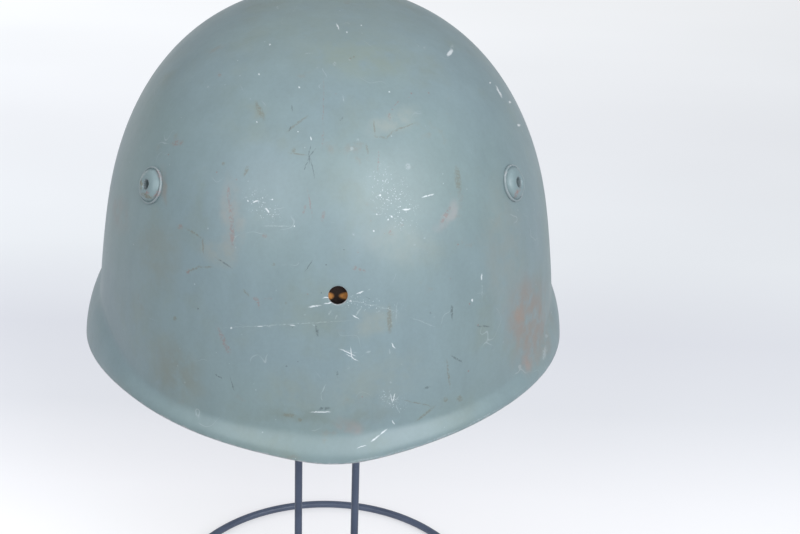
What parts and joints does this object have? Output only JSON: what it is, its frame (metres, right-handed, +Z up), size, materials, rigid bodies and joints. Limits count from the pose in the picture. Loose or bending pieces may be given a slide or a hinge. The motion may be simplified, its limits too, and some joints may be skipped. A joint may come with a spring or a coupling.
{
  "type": "steel helmet on a wire stand",
  "caption": "Pressed-steel helmet with a small visor, a flared side and neck edge, domed vent rivets and a leather lining, held up by a plain wire stand.",
  "frame": {"origin": "on the floor, under the middle of the stand's base ring, on the underside of its cross bar", "axes": "+Z up; -Y towards the viewer and the helmet's front, which is turned 5 degrees to +X on the stand; +X to the viewer's right"},
  "size_m": [0.2358, 0.2675, 0.3432],
  "materials": {
    "steel_paint": "worn semi-gloss grey-green paint with scratches and rust spots",
    "rivet_paint": "the shell's paint, rusted round the edge",
    "leather": "plain brown leather",
    "wire_paint": "dark blue-grey satin paint"
  },
  "bodies": {
    "root": {"shell": "steel_paint", "vent_rivet_left": "rivet_paint", "vent_rivet_right": "rivet_paint", "vent_rivet_rear": "rivet_paint", "liner_band": "leather", "liner_crown": "leather", "wire_stand": "wire_paint"}
  },
  "joints": []
}
